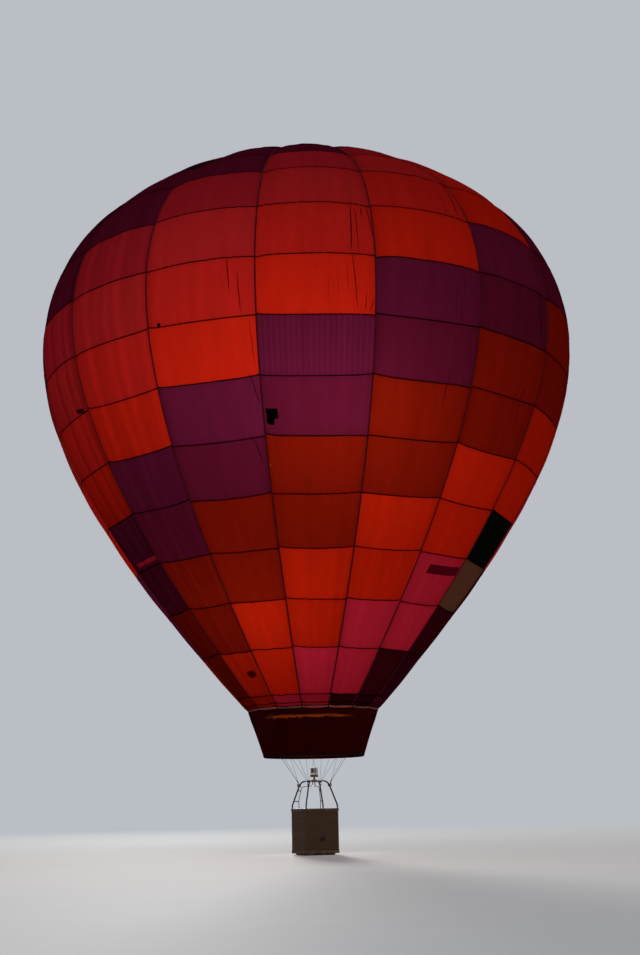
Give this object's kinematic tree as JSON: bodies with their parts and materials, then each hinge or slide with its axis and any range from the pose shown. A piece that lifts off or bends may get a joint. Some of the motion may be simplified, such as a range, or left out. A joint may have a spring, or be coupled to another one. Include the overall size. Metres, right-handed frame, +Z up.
{
  "type": "hot air balloon",
  "caption": "Hot air balloon: gored cloth envelope with a parachute vent and skirt, gimballed burner on bent uprights, and a square wicker basket.",
  "frame": {"origin": "on the envelope's axis at its widest ring, where the air's lift acts, 14.3 m above the skids' undersides", "axes": "+Z up along the envelope's axis; the basket's sides lie along X and Y; -Y is the front"},
  "size_m": [15.0462, 15.0462, 19.9448],
  "materials": {
    "scarlet_cloth": "thin coated cloth, lit through",
    "purple_cloth": "thin coated cloth, lit through",
    "skirt_cloth": "heat-proof cloth",
    "webbing": "woven load tape",
    "alloy": "satin",
    "steel": "stainless, heat-tinted",
    "brass": "dull",
    "padding": "sewn padded cover",
    "wicker": "woven willow and cane",
    "rim_leather": "padded hide, laced",
    "plywood": "varnished",
    "hardwood": "worn",
    "rubber": "matt"
  },
  "bodies": {
    "balloon": {"gore_01": "scarlet_cloth", "gore_02": "scarlet_cloth", "gore_03": "purple_cloth", "gore_04": "scarlet_cloth", "gore_05": "scarlet_cloth", "gore_06": "purple_cloth", "gore_07": "scarlet_cloth", "gore_08": "scarlet_cloth", "gore_09": "purple_cloth", "gore_10": "scarlet_cloth", "gore_11": "scarlet_cloth", "gore_12": "purple_cloth", "gore_13": "scarlet_cloth", "gore_14": "scarlet_cloth", "gore_15": "purple_cloth", "gore_16": "scarlet_cloth", "crown_tapes": "webbing", "crown_ring": "alloy", "skirt": "skirt_cloth", "skirt_hoop": "steel", "flying_wires_front_right": "steel", "flying_wires_back_right": "steel", "flying_wires_back_left": "steel", "flying_wires_front_left": "steel", "upright_front_right": "padding", "upright_back_right": "padding", "upright_back_left": "padding", "upright_front_left": "padding", "burner_ring": "steel", "skid_left": "hardwood", "skid_middle": "hardwood", "skid_right": "hardwood", "basket_floor": "plywood", "wall_front": "wicker", "wall_right": "wicker", "wall_back": "wicker", "wall_left": "wicker", "basket_rim": "rim_leather", "cylinder_back_right": "alloy", "cylinder_back_left": "alloy", "cylinder_front_left": "alloy", "fuel_hose_right": "rubber", "fuel_hose_left": "rubber"},
    "gimbal": {"gimbal_ring": "alloy"},
    "burner": {"burner_block": "brass", "burner_shroud": "steel", "burner_coil": "steel", "blast_valve": "steel", "pilot_knob": "brass"},
    "vent": {"parachute_vent": "purple_cloth"}
  },
  "joints": [
    {"name": "vent_pull", "type": "slide", "parent": "balloon", "child": "vent", "axis": [0, 0, -1], "range_m": [0, 1]},
    {"name": "gimbal_roll", "type": "hinge", "parent": "balloon", "child": "gimbal", "pos_m": [0, 0, -12.345], "axis": [1, 0, 0], "range_deg": [-12, 12]},
    {"name": "burner_pitch", "type": "hinge", "parent": "gimbal", "child": "burner", "pos_m": [0, 0, -12.345], "axis": [0, 1, 0], "range_deg": [-12, 12]}
  ]
}
